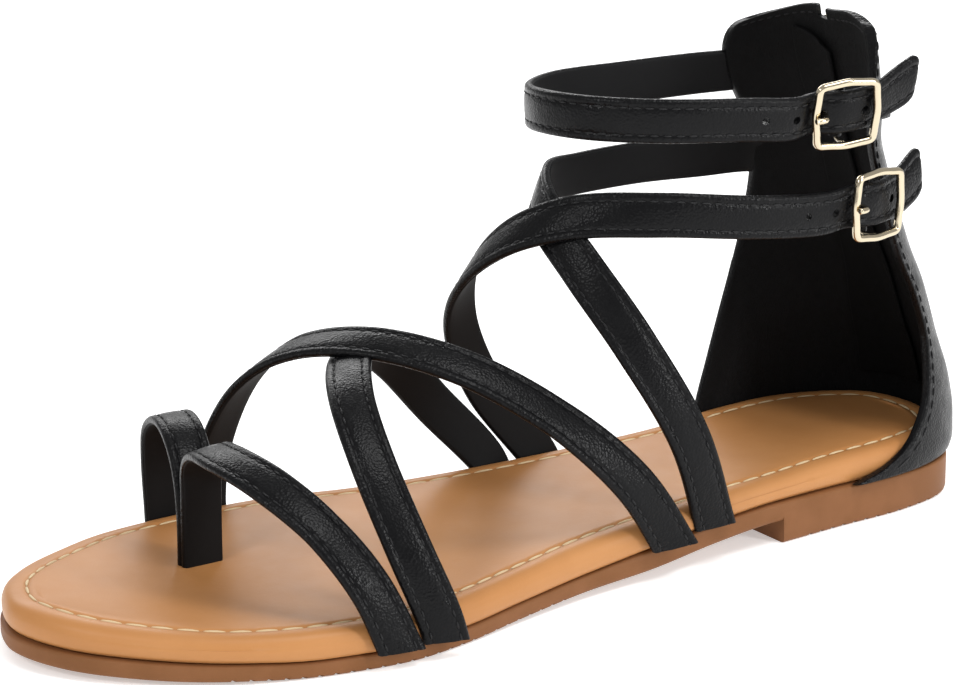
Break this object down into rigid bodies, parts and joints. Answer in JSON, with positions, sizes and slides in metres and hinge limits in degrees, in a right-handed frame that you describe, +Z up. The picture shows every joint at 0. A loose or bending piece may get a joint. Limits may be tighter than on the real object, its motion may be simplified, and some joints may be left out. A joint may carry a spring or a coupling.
{
  "type": "gladiator sandal",
  "caption": "Flat gladiator sandal with a toe ring, crossed foot straps, a high heel counter with a back zip, and buckled ankle and instep straps.",
  "frame": {"origin": "on the ground, under the middle of the heel, 32 mm in front of the footbed's back edge", "axes": "-Y towards the toe, +X towards the outer side of the left foot, +Z up"},
  "size_m": [0.0982, 0.2556, 0.1218],
  "materials": {
    "upper_leather": "satin black, fine pebble grain",
    "footbed_wrap": "smooth tan, semi-matte",
    "sole_rubber": "matte brown",
    "zip_tape": "woven black",
    "gold_metal": "polished pale gold"
  },
  "bodies": {
    "root": {"outsole": "sole_rubber", "footbed": "footbed_wrap", "heel_counter": "upper_leather", "zip_tape": "zip_tape", "zip_slider": "gold_metal", "upper_toe_straps": "upper_leather", "upper_cross_straps": "upper_leather", "upper_ankle_strap": "upper_leather", "upper_instep_straps": "upper_leather", "upper_buckle": "gold_metal", "upper_prong": "gold_metal", "upper_buckle_tab": "upper_leather", "lower_buckle": "gold_metal", "lower_prong": "gold_metal", "lower_buckle_tab": "upper_leather"},
    "pull": {"zip_pull": "gold_metal"}
  },
  "joints": [
    {"name": "pull_swing", "type": "hinge", "parent": "root", "child": "pull", "pos_m": [0, 0.00695, 0.1146], "axis": [1, 0, 0], "range_deg": [0, 150]}
  ]
}
